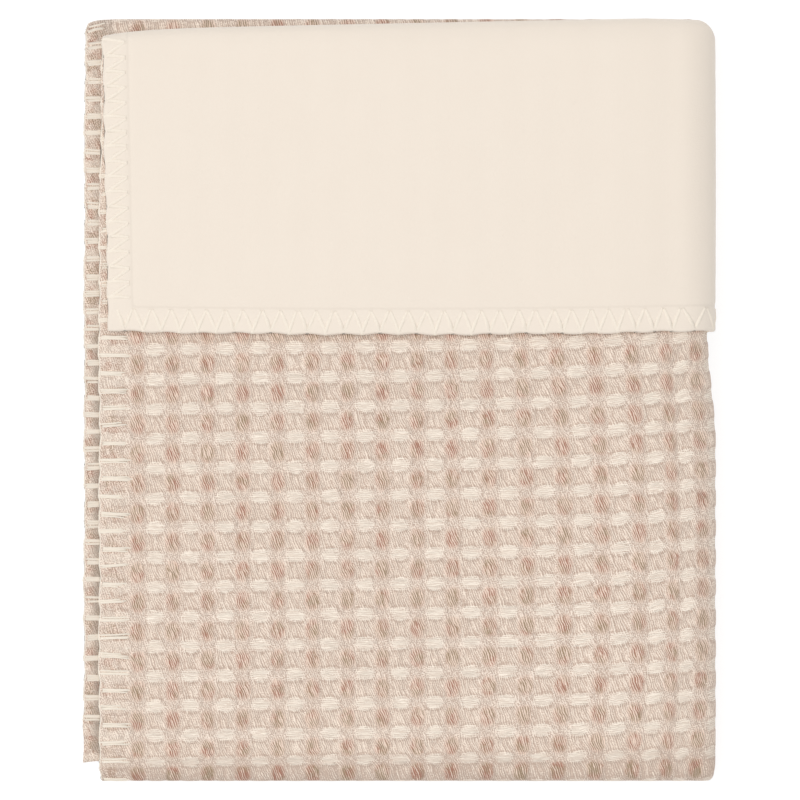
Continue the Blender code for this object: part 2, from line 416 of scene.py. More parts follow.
def stretch_steps(*stretches):
    """Values from stretches of (start, stop, steps), laid end to end without repeating the joints."""
    values = [np.linspace(start, stop, steps, endpoint=False) for start, stop, steps in stretches]
    return np.concatenate([*values, [stretches[-1][1]]])


# ---- the cloths

RIM_OUT = 0.9 * MM  # how far the sewn edge stands out past the cut
RIM_STEPS = 4
HEM_DEPTH = 9.6 * MM
STITCH_PITCH = 7.05 * MM
SCALLOP = 0.28 * MM
SCALLOP_REACH = 5.0 * MM
RIPPLE_V = 9.3 * MM  # the slower waves of the hems, along the strip and across it, for one radian
RIPPLE_U = 8.7 * MM
BACK_INSET = 0.6 * MM
SHOW_THROUGH = 0.06 * MM
FULLNESS = 0.25 * MM
FULL_LENGTHS = (19 * MM, 23 * MM)  # across and along, for one radian of its waves
SEAM_DEPTH = 0.35 * MM
SEAM_WIDTH = 1.1 * MM
SEAM = 0.97  # where the lining is sewn down, as a share of the hem's depth
FRONT_LENGTH = 236.6 * MM  # across the front third
BACK_LENGTH = 223.5 * MM  # across the third that lies on the ground
FLAP_LENGTH = 119.0 * MM
INNER_LENGTH = 293.0 * MM

# The stretches that end in a sewn rim, at either long hem and at either end: their lengths
ALL_RIMS = (FRONT_LENGTH, BACK_LENGTH, FLAP_LENGTH, INNER_LENGTH)
NEAR_RIM = (FRONT_LENGTH, None, None, None)
# The front face is a window in the waffle cloth, woven finer than the rest: (start, stop, steps)
WINDOW_COLUMNS = ((0, 1, 268), (1, 2, 38), (2, 2.04, 5))
WINDOW_ROWS = ((2.3, 3, 240), (3, 4, 20), (4, 4.05, 6))
REST_COLUMNS = ((0, 1, 124), (1, 2, 26), (2, 2.04, 2), (2.04, 3, 60), (3, 4, 32), (4, 5, 64))
REST_ROWS = (
    *((0, 1, 18), (1, 2, 6), (2, 2.3, 8), (2.3, 2.94, 14), (2.94, 3, 10), (3, 4, 16)),
    *((4, 4.05, 8), (4.05, 4.95, 112), (4.95, 5, 8), (5, 6, 10), (6, 7, 76)),
)
LINING_COLUMNS = ((0, 1, 196), (1, 2, 40), (2, 3, 24), (3, 4, 24), (4, 5, 24))
LINING_ROWS = (
    *((0, 1, 106), (1, 2, 16), (2, 2.2, 6), (2.2, 3, 56)),
    *((3, 4, 10), (4, 5, 24), (5, 6, 6), (6, 7, 66)),
)


def with_rims(values, low_length, high_length):
    """Adds the turned rim past either end, out and down a quarter circle, and gives each value's lift."""
    lift = np.ones_like(values)
    angle = np.linspace(0, np.pi / 2, RIM_STEPS + 1)[1:]
    if low_length:
        values = np.concatenate([(values[0] - RIM_OUT * np.sin(angle) / low_length)[::-1], values])
        lift = np.concatenate([np.cos(angle)[::-1], lift])
    if high_length:
        values = np.concatenate([values, values[-1] + RIM_OUT * np.sin(angle) / high_length])
        lift = np.concatenate([lift, np.cos(angle)])
    return values, lift


def from_hems(column, row):
    """Distances in from the nearest long hem and the nearest end."""
    across = np.minimum(column * FRONT_LENGTH, (FAR_HEM - column) * BACK_LENGTH)
    return across, np.minimum(row * FLAP_LENGTH, (STRIP_END - row) * INNER_LENGTH)


def drawn_in(column, row, u, v):
    """Column and row moved in where the sewing draws an edge in: a scallop to every two stitches. The layer
    behind the front is left straight, a little inside the others."""
    column_side = np.where(column < FAR_HEM / 2, 1.0 / FRONT_LENGTH, -1.0 / BACK_LENGTH)
    row_side = np.where(row < STRIP_END / 2, 1.0 / FLAP_LENGTH, -1.0 / INNER_LENGTH)
    from_side, from_end = from_hems(column, row)
    wave_v = np.sin(v * np.pi / STITCH_PITCH) + 0.6 * np.sin(v / RIPPLE_V + 1.3)
    wave_u = np.sin(u * np.pi / STITCH_PITCH + 1.65) + 0.6 * np.sin(u / RIPPLE_U + 0.8)
    inside = 1.0 - smoothstep((np.abs(row - BACK_RUN - 0.5) - 1.3) / 0.3)
    wave_v = wave_v * (1 - inside) + BACK_INSET / SCALLOP * inside
    column = column + SCALLOP * wave_v * np.exp(-np.maximum(from_side, 0) / SCALLOP_REACH) * column_side
    return column, row + SCALLOP * wave_u * np.exp(-np.maximum(from_end, 0) / SCALLOP_REACH) * row_side


def cloth_places(column, row, column_lift, row_lift):
    """The grid of a cloth, drawn in at its hems, with its lift, flat place and distance from the hems."""
    column, row = np.meshgrid(column, row)
    lift = column_lift[None, :] * row_lift[:, None]
    _, u, v = folded(column, row, np.zeros_like(column))
    from_hem = np.minimum(*from_hems(column, row))
    column, row = drawn_in(column, row, u, v)
    return column, row, lift, u, v, from_hem


def waffle_surface(depth, places):
    """Points and maps of the waffle side: its relief, pressed flatter at hems and pulled flat on folds."""
    column, row, lift, u, v, from_hem = places
    rib, line = weave_place(u, v)
    share = 1.0 - 0.75 * smoothstep(1.3 - from_hem / HEM_DEPTH)
    for fold, pull in ((FLAP_FOLD, 0.6), (BOTTOM_FOLD, 0.6), (INNER_FOLD, 0.75)):
        share = share * (1.0 - pull * smoothstep(1.25 - 2 * np.abs(row - fold - 0.5)))
    for fold in (RIGHT_FOLD, LEFT_FOLD):
        share = share * (1.0 - 1.5 * smoothstep(1.25 - 2 * np.abs(column - fold - 0.5)))
    relief = waffle_relief(rib, line, depth) * share
    points, _, _ = folded(column, row, (FACE + relief) * lift)
    maps = {
        "cloth": np.dstack([u, v]),
        "weave": np.dstack([rib, line]),
        "hem": np.dstack([from_hem / HEM_DEPTH, smoothstep(row - INNER_FOLD)]),
    }
    return points, maps


def lining_surface(places):
    """Points and maps of the lining: a little full between the hems, drawn down along their seam, and nearly
    smooth, with the ribs of the waffle just showing through."""
    column, row, lift, u, v, from_hem = places
    seam = -SEAM_DEPTH * np.exp(-(((from_hem - SEAM * HEM_DEPTH) / SEAM_WIDTH) ** 2))
    full = FULLNESS * np.sin(u / FULL_LENGTHS[0]) * np.sin(v / FULL_LENGTHS[1] + 1.0)
    rib, line = weave_place(u, v)
    full = full - SHOW_THROUGH * (np.cos(2 * np.pi * rib) + 0.6 * np.cos(2 * np.pi * line))
    full = full * smoothstep((from_hem - HEM_DEPTH) / (12 * MM))
    on_flap = smoothstep((1.5 - row) / 0.4)
    points, _, _ = folded(column, row, -(FACE + (seam + full) * on_flap) * lift)
    maps = {
        "cloth": np.dstack([u, v]),
        "hem": np.dstack([from_hem / HEM_DEPTH, np.zeros_like(u)]),
    }
    return points, maps


def cloth_piece(name, surface, columns, rows, rims, material, keep=None):
    """A cloth's visible face as one sheet: a grid of columns and rows carried to its folded place."""
    column, column_lift = with_rims(stretch_steps(*columns), *rims[:2])
    row, row_lift = with_rims(stretch_steps(*rows), *rims[2:])
    points, maps = surface(cloth_places(column, row, column_lift, row_lift))
    faces = grid_faces(len(row), len(column), surface is not lining_surface)
    if keep is not None:
        middles = np.meshgrid((column[1:] + column[:-1]) / 2, (row[1:] + row[:-1]) / 2)
        faces = faces[keep(*middles).ravel()]
    used, faces = np.unique(faces, return_inverse=True)
    maps = {map_name: places.reshape(-1, 2)[used] for map_name, places in maps.items()}
    return mesh_piece(name, points.reshape(-1, 3)[used], faces.reshape(-1, 4), maps, material)


def outside_window(column, row):
    """The part of the waffle cloth that the finer front face leaves over."""
    in_rows = (row > WINDOW_ROWS[0][0]) & (row < WINDOW_ROWS[-1][1])
    return ~(in_rows & (column < WINDOW_COLUMNS[-1][1]))


# ---- the sewing

STRAND_SIDES = 5
EDGE_STEPS = 4  # points of the edge thread to a stitch
FRONT_BAR = -43.2 * MM  # v of one bar on the front
END_BAR = 127.5 * MM  # u of one stitch on the flap's hem
END_PITCH = 1.033
UNDER_FLAP = -95.6 * MM  # v on the front, under the flap's hem
# Along the strip: on the flap, under it, on the front, at the back, then on the inner layer in four parts
SIDE_PITCHES = (0.851, 1.016, 1.0, 0.977, 1.01, 0.976, 1.064, 1.13)
INNER_PARTS = (192.2 * MM, 123.4 * MM, 63.4 * MM)  # between the parts, from the end of the strip
NEAR, FAR, FLAP_END, INSIDE_END = range(4)
# Each row: inward share of the hem's depth, offset in cloth halves, share of the sideways spread, thickness
BAR_STEPS = (
    (1.06, 0.6, 0.9, 0.7),
    (0.94, 0.94, 1.1, 0.95),
    (0.55, 1.0, 0.85, 1.05),
    (0.06, 0.98, 1.0, 1.0),
    (-0.1, 0.5, 0.9, 0.8),
)
LEG_STEPS = (
    (-0.06, -0.4, 0.0, 0.7),
    (0.06, -0.62, 0.04, 0.9),
    (0.46, -0.6, 0.45, 1.0),
    (0.86, -0.64, 0.9, 0.7),
)
LEG_SIZE = 2.5  # legs and bars are the same yarn, but the legs lie flatter in the nap
BAR_STRANDS = (-0.6, 0.0, 0.6)  # mm to either side
INNER_SPREAD = 1.35  # how much further apart they lie on the inner layer
INNER_SIZE = 1.35  # how much thicker and flatter they are there
INNER_SINK = 0.15  # in cloth halves
LEG_SIDES = 8
REACH_UNEVEN = 0.06  # of a bar, as a share of its length
STRAND_REACH_UNEVEN = 0.12
BAR_SWAY = 0.35 * MM  # of a bar's inner end to either side
STRAND_UNEVEN = 0.18 * MM
LEG_UNEVEN = 0.25 * MM
EDGE_WAVE = 0.15 * MM


def hem_place(hem, along, inward):
    """Column and row of points at distances along a hem and in from it."""
    if hem in (NEAR, FAR):
        column = inward / FRONT_LENGTH if hem == NEAR else FAR_HEM - inward / BACK_LENGTH
        return column, through(along, strip_marks(column), range(STRIP_END + 1))
    row = inward / FLAP_LENGTH if hem == FLAP_END else STRIP_END - inward / INNER_LENGTH
    level = np.zeros_like(row)
    return through(along, *across_marks(*fold_along(level, row, level))), row


def sewn_path(hem, along, inward, offset):
    """Places of a thread, by its distances along and in from a hem and its offset; its up direction; and its
    share on the inner layer."""
    column, row = hem_place(hem, along, inward)
    _, u, v = folded(column, row, offset * 0)
    column, row = drawn_in(column, row, u, v)
    places, _, _ = folded(column, row, offset)
    deeper, _, _ = folded(column, row, offset - 0.05 * MM)
    inside, _, _ = folded(*hem_place(hem, along, inward + 0.05 * MM), offset)
    on_face = (np.abs(offset) > FACE / 2)[..., None]
    up = (places - deeper) * np.sign(offset)[..., None] * on_face + (places - inside) * (1.001 - on_face)
    return places, up, smoothstep(row - INNER_FOLD)


def tubes(hem, along, inward, offset, radius, sides):
    """Tubes round threads of a hem, each a row of steps: a circle at each step, square to the path, faces
    outwards. The map holds the share of each on the inner layer, and the distance along it."""
    paths, ups, inner_share = sewn_path(hem, along, inward, np.broadcast_to(offset * FACE, inward.shape))
    ahead = np.gradient(paths, axis=1)
    ahead /= np.linalg.norm(ahead, axis=-1, keepdims=True)
    side = np.cross(ahead, ups)
    side /= np.linalg.norm(side, axis=-1, keepdims=True)
    up = np.cross(side, ahead)
    angle = 2 * np.pi * np.arange(sides) / sides
    ring = side[:, :, None] * np.cos(angle)[:, None] + up[:, :, None] * np.sin(angle)[:, None]
    points = paths[:, :, None] + ring * np.broadcast_to(radius, paths.shape[:2])[:, :, None, None]
    index = np.arange(points[..., 0].size).reshape(points.shape[:3])
    turned = np.roll(index, -1, axis=2)
    faces = np.stack([index[:, :-1], turned[:, :-1], turned[:, 1:], index[:, 1:]], axis=-1)
    steps = np.linalg.norm(np.diff(paths, axis=1, prepend=paths[:, :1]), axis=-1).cumsum(axis=1)
    places = np.dstack([inner_share, steps])[:, :, None].repeat(sides, axis=2)
    return points.reshape(-1, 3), faces.reshape(-1, 4), places.reshape(-1, 2)


def stitch_places(places, pitches, known, clear):
    """Places of a hem's stitches: each part has its own pitch, and one stitch is at a known place."""
    counts = np.concatenate([[0.0], np.cumsum(np.diff(places) / pitches)])
    counts = counts - through(known, places, counts)
    along = through(np.arange(np.ceil(counts[0]), counts[-1]), counts, places)
    return along[(along > places[0] + clear) & (along < places[-1] - clear)]


def hem_stitches(hem, along, sizes):
    """A hem's sewing: bars of strands on the waffle side, slanted legs on the lining, thread on the edge."""
    pitch = np.gradient(along)[:, None]
    chance = np.random.default_rng(20 + hem)
    each = (len(along), 1)
    reach = chance.normal(1.0, REACH_UNEVEN, each)
    sway = chance.normal(0.0, BAR_SWAY, each)
    inward, offset, spread, size = np.array(BAR_STEPS).T
    _, _, wide = sewn_path(hem, along[:, None], np.zeros(each), np.zeros(each))
    spread = spread * (1.0 + (INNER_SPREAD - 1.0) * wide)
    size = size * (1.0 + (INNER_SIZE - 1.0) * wide)
    offset = offset - INNER_SINK * wide
    pieces = []
    for strand in BAR_STRANDS:
        sideways = spread * (strand * MM + chance.normal(0, STRAND_UNEVEN, each)) + sway * inward
        strand_reach = reach + chance.normal(0, STRAND_REACH_UNEVEN, each)
        path_in = HEM_DEPTH * inward * np.where(inward > 0, strand_reach, 1.0)
        radius = sizes.strand * size
        pieces.append(tubes(hem, along[:, None] + sideways, path_in, offset, radius, STRAND_SIDES))
    inward, offset, spread, size = np.array(LEG_STEPS).T
    for hand in (-1.0, 1.0):
        path_in = HEM_DEPTH * np.broadcast_to(inward, (len(along), len(inward)))
        sideways = 0.5 * pitch * hand * spread + chance.normal(0, LEG_UNEVEN, each) * inward
        radius = LEG_SIZE * sizes.strand * size
        pieces.append(tubes(hem, along[:, None] + sideways, path_in, offset, radius, LEG_SIDES))
    turn = np.arange((len(along) - 1) * EDGE_STEPS) / EDGE_STEPS
    line = np.interp(turn, np.arange(len(along)), along)
    wave = -0.5 * RIM_OUT - EDGE_WAVE * np.cos(2 * np.pi * turn)
    return [*pieces, tubes(hem, line[None], wave[None], 0.6, sizes.strand, STRAND_SIDES)]


def joined(pieces):
    """Several meshes as one: points and maps end to end, and the faces' numbers moved on."""
    points, faces, places = zip(*pieces)
    shift = np.cumsum([0, *map(len, points[:-1])])
    faces = [numbers + moved for numbers, moved in zip(faces, shift)]
    return [np.concatenate(parts) for parts in (points, faces, places)]


# ---- the finishes

SOFT = {"interpolation_type": "SMOOTHSTEP"}
COLOURS = {"output": 2, "data_type": "RGBA"}
RAGGED = 1.6  # how unevenly the threads of a float end
THREADS = 16.0  # to a cell: 0.87 mm apart across the strip, 0.74 mm along it
# Half the size of the brown, pale and pit blocks, in cells across and rows along
BROWN_HALF = (0.213, 0.332)
PALE_HALF = (0.236, 0.206)
PIT_HALF = (0.3, 0.3)
LEAN = 5 / THREADS  # of the threads along the strip, in cells to a row
FAN = 0.5  # how much more they lean from one side of a pit to the other
UNDER_FLOAT = 0.232  # from the middle of a pit to the line where its threads go under a pale float, in rows
UNDER_CURVE = 0.16  # how the line bends away from the pit towards its sides
# Strength of the painted shadow lines at the top and at the bottom of each pit
PIT_SHADOW_TOP = 0.2
PIT_SHADOW_BOTTOM = 0.22
FOLD_SHADE_ROW = 7.8  # the row of the weave round which the painted shade on the bottom fold lies
EDGE_SHADE_FROM = 42.5  # the row of the weave on the inner layer below which the painted shade on its edge is deeper
NAP_SCALE = 900.0  # tufts of 1.1 mm: real nap is finer, and this is as coarse as it needs to show
CLOUD_SCALE = 60.0  # thick and thin places of 17 mm
PLY_SCALE = 900.0  # along the yarn, for plies 1.1 mm apart


def finish_cloth(add, colour, height, depth, strength, roughness, sheen):
    """Ends a cloth's node tree: a rough, slightly velvety shader with its relief of threads."""
    normal = add("Bump", {"Height": height, "Distance": depth, "Strength": strength})
    finish = {"Roughness": roughness, "IOR": 1.47, "Specular IOR Level": 0.25}
    finish |= {"Sheen Weight": sheen, "Sheen Roughness": 0.5}
    shader = add("BsdfPrincipled", {"Base Color": colour, "Normal": normal, **finish})
    add("OutputMaterial", [shader])


def rounded_block(add, counts, halves, ragged, soft, squareness):
    """1 inside a block with rounded corners about the zero of both counts, 0 outside, and ragged between."""
    shares = []
    for way, half in zip(counts, halves):
        way = add("Math MULTIPLY", [way, 1 / half])
        shares.append(add("Math POWER", [way, squareness]))
    far = add("Math ADD", shares)
    far = add("Math MULTIPLY_ADD", [ragged, -RAGGED, far])
    far = add("Math ADD", [far, RAGGED / 2])
    return add("MapRange", [far, 1 - soft, 1 + soft, 1.0, 0.0], **SOFT)


def threads(add, across, along, run):
    """Light and dark threads side by side, THREADS to a cell, each uneven along its run and wandering."""
    place = add("CombineXYZ", [across, along])
    place = add("VectorMath MULTIPLY", [place, (THREADS, run, 0.0)])
    grain = add("TexNoise", {"Vector": place, "Scale": 1.3, "Detail": 2.0, "Roughness": 0.6})
    turn = add("Math MULTIPLY", [across, 2 * np.pi * THREADS])
    turn = add("Math MULTIPLY_ADD", [grain, 5.0, turn])
    wave = add("Math SINE", [turn])
    grain = add("Math MULTIPLY_ADD", [grain, 1.4, -0.2])
    return add("Math MULTIPLY_ADD", [wave, 0.24, grain])


def away(add, count, place):
    """How far a count is from a place, either way."""
    past = add("Math SUBTRACT", [count, place])
    return add("Math ABSOLUTE", [past])


def faded(add, value, fade, **settings):
    """A value times what a Map Range makes of the fade's inputs."""
    share = add("MapRange", fade, **settings)
    return add("Math MULTIPLY", [value, share])


def yarn_over(add, share, under, tone, dark, light):
    """Lays yarn of dark and light threads, by its tone, over a colour, as much as its share says."""
    yarn = add("Mix", {0: tone, 6: dark, 7: light}, **COLOURS)
    return add("Mix", {0: share, 6: under, 7: yarn}, **COLOURS)


def waffle_cotton(colours):
    """Waffle weave cotton, yarn-dyed: long floats on the ribs, marled brown where the warp floats."""
    material = bpy.data.materials.new("waffle_weave_cotton")
    add = bare_tree(material)
    weave = add("UVMap", uv_map="weave")  # counts of ribs and rows: patterns are sized in 14 x 11.9 mm cells
    wander = add("TexNoise", {"Vector": weave, "Scale": 3.3, "Detail": 4.0}, output="Color")
    wander = add("VectorMath SUBTRACT", [wander, (0.5, 0.5, 0.5)])
    place = add("VectorMath MULTIPLY_ADD", [wander, (0.12, 0.15, 0.0), weave])
    parts = add("SeparateXYZ", [place]).node.outputs
    rib, row = parts["X"], parts["Y"]
    from_rib = add("Math PINGPONG", [rib, 0.5])
    from_row = add("Math PINGPONG", [row, 0.5])
    from_pit = add("Math SUBTRACT", [0.5, from_rib])
    from_pale = add("Math SUBTRACT", [0.5, from_row])

    # Threads along the strip lean, step back unseen under the middle of each pale float by a whole number of
    # threads, and fan out in the pits
    row_share = add("Math WRAP", [row, 0.5, -0.5])
    rib_share = add("Math WRAP", [rib, 1.0, 0.0])
    fan = add("Math MULTIPLY_ADD", [rib_share, FAN, LEAN - FAN / 2])
    lean = add("MapRange", [from_rib, 0.12, 0.36, LEAN, fan])
    shift = add("Math MULTIPLY", [lean, row_share])
    across = add("Math SUBTRACT", [rib, shift])
    warp = threads(add, across, row, 1.6)
    weft = threads(add, row, rib, 1.4)

    brown = rounded_block(add, (from_rib, from_row), BROWN_HALF, warp, soft=0.4, squareness=2.4)
    pale = rounded_block(add, (from_pit, from_pale), PALE_HALF, weft, soft=0.65, squareness=2.0)
    pit = rounded_block(add, (from_pit, from_row), PIT_HALF, warp, soft=0.4, squareness=3.0)
    # A painted shadow line above and below each pit, where its threads go under the pale floats
    under = add("Math MULTIPLY_ADD", [from_pit, UNDER_CURVE, UNDER_FLOAT])
    under = away(add, under, from_row)
    under = add("MapRange", [under, 0.015, 0.055, 1.0, 0.0], **SOFT)
    under = faded(add, under, [from_pit, 0.2, 0.3, 1.0, 0.0], **SOFT)
    under = faded(add, under, [row_share, -0.1, 0.1, PIT_SHADOW_TOP, PIT_SHADOW_BOTTOM])
    under = faded(add, under, [warp, 0.2, 0.8, 1.8, 0.2])
    # Painted shade along the bottom fold, where the cloth turns away from the light
    fold_shade = away(add, row, FOLD_SHADE_ROW)
    fold_shade = add("MapRange", [fold_shade, 1.1, 1.8, 0.12, 0.0], **SOFT)
    under = add("Math ADD", [under, fold_shade])

    # In the hems the threads are crammed: pale rows and marled ones, without floats
    hem_map = add("SeparateXYZ", [add("UVMap", uv_map="hem")]).node.outputs
    into_hem, inner = hem_map["X"], hem_map["Y"]
    hem = add("MapRange", [into_hem, 0.95, 1.2, 1.0, 0.0], **SOFT)
    patch = add("TexNoise", {"Vector": weave, "Scale": 3.4, "Detail": 2.0})
    patch = add("Math MULTIPLY_ADD", [from_row, -0.42, patch])
    patch = add("Math MULTIPLY_ADD", [inner, 0.05, patch])
    patch = add("MapRange", [patch, 0.36, 0.52], **SOFT)
    inside = away(add, into_hem, 0.38)
    patch = faded(add, patch, [inside, 0.22, 0.42, 1.0, 0.35])
    # The marl is weaker at the turn of the strip
    turned = away(add, inner, 0.5)
    full = add("Math MULTIPLY_ADD", [inner, 0.35, 0.55])
    patch = faded(add, patch, [turned, 0.2, 0.5, 0.2, full])

    # The long floats show their threads; elsewhere threads cross so closely that only specks are left
    open_part = add("Math SUBTRACT", [1.0, hem])
    pale_part = add("Math MULTIPLY", [pale, open_part])
    streak = add("Mix", {"Factor": pale_part, "A": warp, "B": weft}, data_type="FLOAT")
    floats = add("Math MAXIMUM", [brown, pale])
    floats = add("Math MULTIPLY_ADD", [pit, 0.45, floats])
    floats = add("Math MULTIPLY", [floats, open_part])
    speck = add("TexNoise", {"Vector": weave, "Scale": 26.0, "Detail": 2.0})
    speck = add("Math SUBTRACT", [speck, 0.5])
    speck_share = add("MapRange", [floats, 0.0, 1.0, 1.8, 0.4])
    streak_share = add("MapRange", [floats, 0.0, 1.0, 0.55, 1.05])
    tone = add("Math SUBTRACT", [streak, 0.5])
    tone = add("Math MULTIPLY_ADD", [tone, streak_share, 0.5])
    tone = add("Math MULTIPLY_ADD", [speck, speck_share, tone])
    tone = add("Math SUBTRACT", [tone, under])
    tone = add("MapRange", [tone, 0.27, 0.75], **SOFT)
    crossing = add("Mix", {0: tone, 6: colours.crossing_dark, 7: colours.crossing_light}, **COLOURS)
    colour = yarn_over(add, pit, crossing, tone, colours.pit_dark, colours.pit_light)
    colour = yarn_over(add, pale, colour, tone, colours.pale_dark, colours.pale_light)
    second = add("TexNoise", {"Vector": weave, "Scale": 1.6, "Detail": 2.0})
    second = add("MapRange", [second, 0.42, 0.58])
    marl = add("Mix", {0: second, 6: colours.brown_dark, 7: colours.brown_second}, **COLOURS)
    colour = yarn_over(add, brown, colour, tone, marl, colours.brown_light)
    crammed = yarn_over(add, patch, crossing, tone, marl, colours.brown_light)
    pale_row = add("MapRange", [from_row, 0.22, 0.42, 0.0, 0.35], **SOFT)
    crammed = yarn_over(add, pale_row, crammed, tone, colours.pale_dark, colours.pale_light)
    # Painted shade on the edge of the inner layer that shows beside the front: deeper further in from its
    # hem, towards the front's edge, and lower down along it
    edge_shade = add("MapRange", [row, EDGE_SHADE_FROM, EDGE_SHADE_FROM + 1.0, 0.3, 0.62])
    edge_shade = add("MapRange", [into_hem, 0.12, 0.42, 0.0, edge_shade])
    edge_shade = add("Math MULTIPLY", [inner, edge_shade])
    crammed = add("Mix", {0: edge_shade, 6: crammed, 7: colours.painted_shade}, **COLOURS)
    colour = add("Mix", {0: hem, 6: colour, 7: crammed}, **COLOURS)
    finish_cloth(add, colour, streak, depth=0.5 * MM, strength=0.8, roughness=0.92, sheen=0.1)
    return material


def brushed_cotton(colours):
    """Brushed cotton flannel: a short raised nap that blurs the weave and takes the light softly."""
    material = bpy.data.materials.new("brushed_cotton_flannel")
    add = bare_tree(material)
    cloth = add("UVMap", uv_map="cloth")
    nap = add("TexNoise", {"Vector": cloth, "Scale": NAP_SCALE, "Detail": 4.0, "Roughness": 0.65})
    cloud = add("TexNoise", {"Vector": cloth, "Scale": CLOUD_SCALE, "Detail": 3.0})
    thickness = add("Math MULTIPLY_ADD", [cloud, 0.5, 0.25])
    colour = add("Mix", {0: thickness, 6: colours.flannel_dark, 7: colours.flannel}, **COLOURS)
    # Painted shadow: a thin grey line along the seam, the shade of its groove
    into_hem = add("SeparateXYZ", [add("UVMap", uv_map="hem")])
    seam = away(add, into_hem, SEAM)
    seam = add("MapRange", [seam, 0.0, 0.09, 0.09, 0.0], **SOFT)
    colour = add("Mix", {0: seam, 6: colour, 7: colours.painted_shade}, **COLOURS)
    finish_cloth(add, colour, nap, depth=0.35 * MM, strength=0.35, roughness=0.95, sheen=0.3)
    return material


def sewing_yarn(colours):
    """Soft mercerised cotton yarn in several plies, with a faint shine along its twist."""
    material = bpy.data.materials.new("cotton_sewing_yarn")
    add = bare_tree(material)
    yarn = add("UVMap", uv_map="yarn")
    twist = add("VectorMath MULTIPLY", [yarn, (2.0, PLY_SCALE, 0.0)])
    ply = add("TexNoise", {"Vector": twist, "Scale": 1.0, "Detail": 2.0})
    colour = add("Mix", {0: ply, 6: colours.yarn_dark, 7: colours.yarn}, **COLOURS)
    # Painted shade: the yarn on the inner layer is greyed a little, for the shade it lies in beside the front
    edge_shade = add("SeparateXYZ", [yarn])
    edge_shade = add("Math MULTIPLY", [edge_shade, 0.12])
    colour = add("Mix", {0: edge_shade, 6: colour, 7: colours.painted_shade}, **COLOURS)
    finish_cloth(add, colour, ply, depth=0.2 * MM, strength=0.5, roughness=0.75, sheen=0.2)
    return material


# ---- the add-on


def length(name, description, default, least):
    """A length that a user can change."""
    kind = {"subtype": "DISTANCE", "unit": "LENGTH"}
    return FloatProperty(name=name, description=description, default=default, min=least, **kind)


class BlanketSizes(bpy.types.PropertyGroup):
    relief: length("Depth of the waffle", "From the crests of the ribs to the floor of a pit", 0.9 * MM, 0.0)
    stitch_pitch: length("Stitch spacing", "From one hem stitch to the next", STITCH_PITCH, 1.0 * MM)
    strand: length("Strand radius", "Half the thickness of a strand of yarn", 0.42 * MM, 0.05 * MM)


def shade(name, description, hex_colour):
    """A colour that a user can change, with its default written as an sRGB hex value."""
    limits = {"min": 0.0, "max": 1.0, "size": 4, "subtype": "COLOR"}
    return FloatVectorProperty(name=name, description=description, default=linear(hex_colour), **limits)


class BlanketColours(bpy.types.PropertyGroup):
    pit_dark: shade("Pit, dark threads", "Darker threads in the hollows", "CBB4A4")
    pit_light: shade("Pit, light threads", "Lighter threads in the hollows", "F9E9D9")
    brown_dark: shade("Brown float, dark threads", "Darker threads of the brown blocks", "AA7B68")
    brown_second: shade("Brown float, second yarn", "The greener of the two brown yarns", "A08A70")
    brown_light: shade("Brown float, light threads", "Lighter threads of the brown blocks", "F1D9C8")
    pale_dark: shade("Pale float, dark threads", "Darker threads of the pale blocks", "E5D4C4")
    pale_light: shade("Pale float, light threads", "Lighter threads of the pale blocks", "FDF1E2")
    crossing_dark: shade("Crossing, dark threads", "Darker threads where the ribs cross", "C8B1A1")
    crossing_light: shade("Crossing, light threads", "Lighter threads where the ribs cross", "F9E9DA")
    # Painted shade: the grey laid on the inner layer's edge beside the front, on its sewing and along the
    # seam line of the lining
    painted_shade: shade("Inner edge", "What greys the edge that shows beside the front", "A2968A")
    flannel: shade("Flannel", "Brushed face of the lining", "ECE1D4")
    flannel_dark: shade("Flannel, thin places", "Where the nap of the lining is thinner", "E8DCCE")
    yarn: shade("Sewing yarn", "Yarn of the hem stitching", "F2E8DA")
    yarn_dark: shade("Sewing yarn, between plies", "Shaded plies of the sewing yarn", "EADFD0")


class BLANKET_OT_waffle_face(bpy.types.Operator):
    """Weave the waffle side and fold it"""

    bl_idname = "blanket.waffle_face"
    bl_label = "Waffle face"

    def execute(self, context):
        weave = partial(waffle_surface, context.scene.blanket_sizes.relief)
        cotton = waffle_cotton(context.scene.blanket_colours)
        window = cloth_piece("waffle_front", weave, WINDOW_COLUMNS, WINDOW_ROWS, NEAR_RIM, cotton)
        rest = cloth_piece("waffle_layers", weave, REST_COLUMNS, REST_ROWS, ALL_RIMS, cotton, outside_window)
        for piece in (window, rest):
            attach(piece, "root")
            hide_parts("waffle_face")
        return {"FINISHED"}


class BLANKET_OT_lining(bpy.types.Operator):
    """Lay in the brushed lining, which shows on the flap"""

    bl_idname = "blanket.lining"
    bl_label = "Brushed lining"

    def execute(self, context):
        flannel = brushed_cotton(context.scene.blanket_colours)
        lining = cloth_piece("brushed_lining", lining_surface, LINING_COLUMNS, LINING_ROWS, ALL_RIMS, flannel)
        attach(lining, "root")
        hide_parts("flannel_lining")
        return {"FINISHED"}


